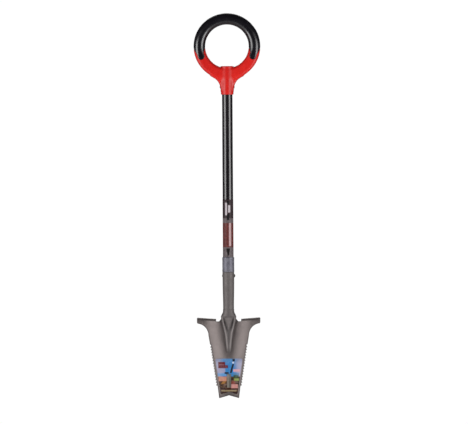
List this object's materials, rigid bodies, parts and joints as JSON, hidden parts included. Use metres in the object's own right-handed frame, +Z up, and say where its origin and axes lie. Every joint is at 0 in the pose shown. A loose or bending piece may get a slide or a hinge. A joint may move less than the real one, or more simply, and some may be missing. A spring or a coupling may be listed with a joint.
{
  "type": "digging shovel",
  "caption": "Root-cutting digging shovel with a round O handle, straight black shaft, foot treads and a narrow saw-toothed blade with an inverted-V tip.",
  "frame": {"origin": "on the shaft's axis, level with the blade's two digging points", "axes": "+Z up the shaft towards the handle, +X to the right, -Y out of the blade's front face"},
  "size_m": [0.1956, 0.037, 1.13],
  "materials": {
    "handle_shell": "moulded nylon, satin",
    "soft_grip": "soft-touch",
    "rivet_steel": "plated",
    "tube_steel": "mill finish",
    "shaft_resin": "semi-gloss resin",
    "ferrule": "satin grey",
    "blade_coat": "powder coat, satin grey",
    "weld_coat": "coated weld bead",
    "blade_sticker": null,
    "shaft_sticker": null
  },
  "bodies": {
    "root": {"handle_body": "handle_shell", "grip_overmould": "soft_grip", "handle_rivet": "rivet_steel", "shaft_core_tube": "tube_steel", "shaft_sleeve": "shaft_resin", "shaft_label": "shaft_sticker", "collar": "ferrule", "neck_socket": "blade_coat", "neck_rivet": "rivet_steel", "blade": "blade_coat", "front_weld_left": "weld_coat", "front_weld_right": "weld_coat", "rear_weld": "weld_coat", "blade_label": "blade_sticker"}
  },
  "joints": []
}
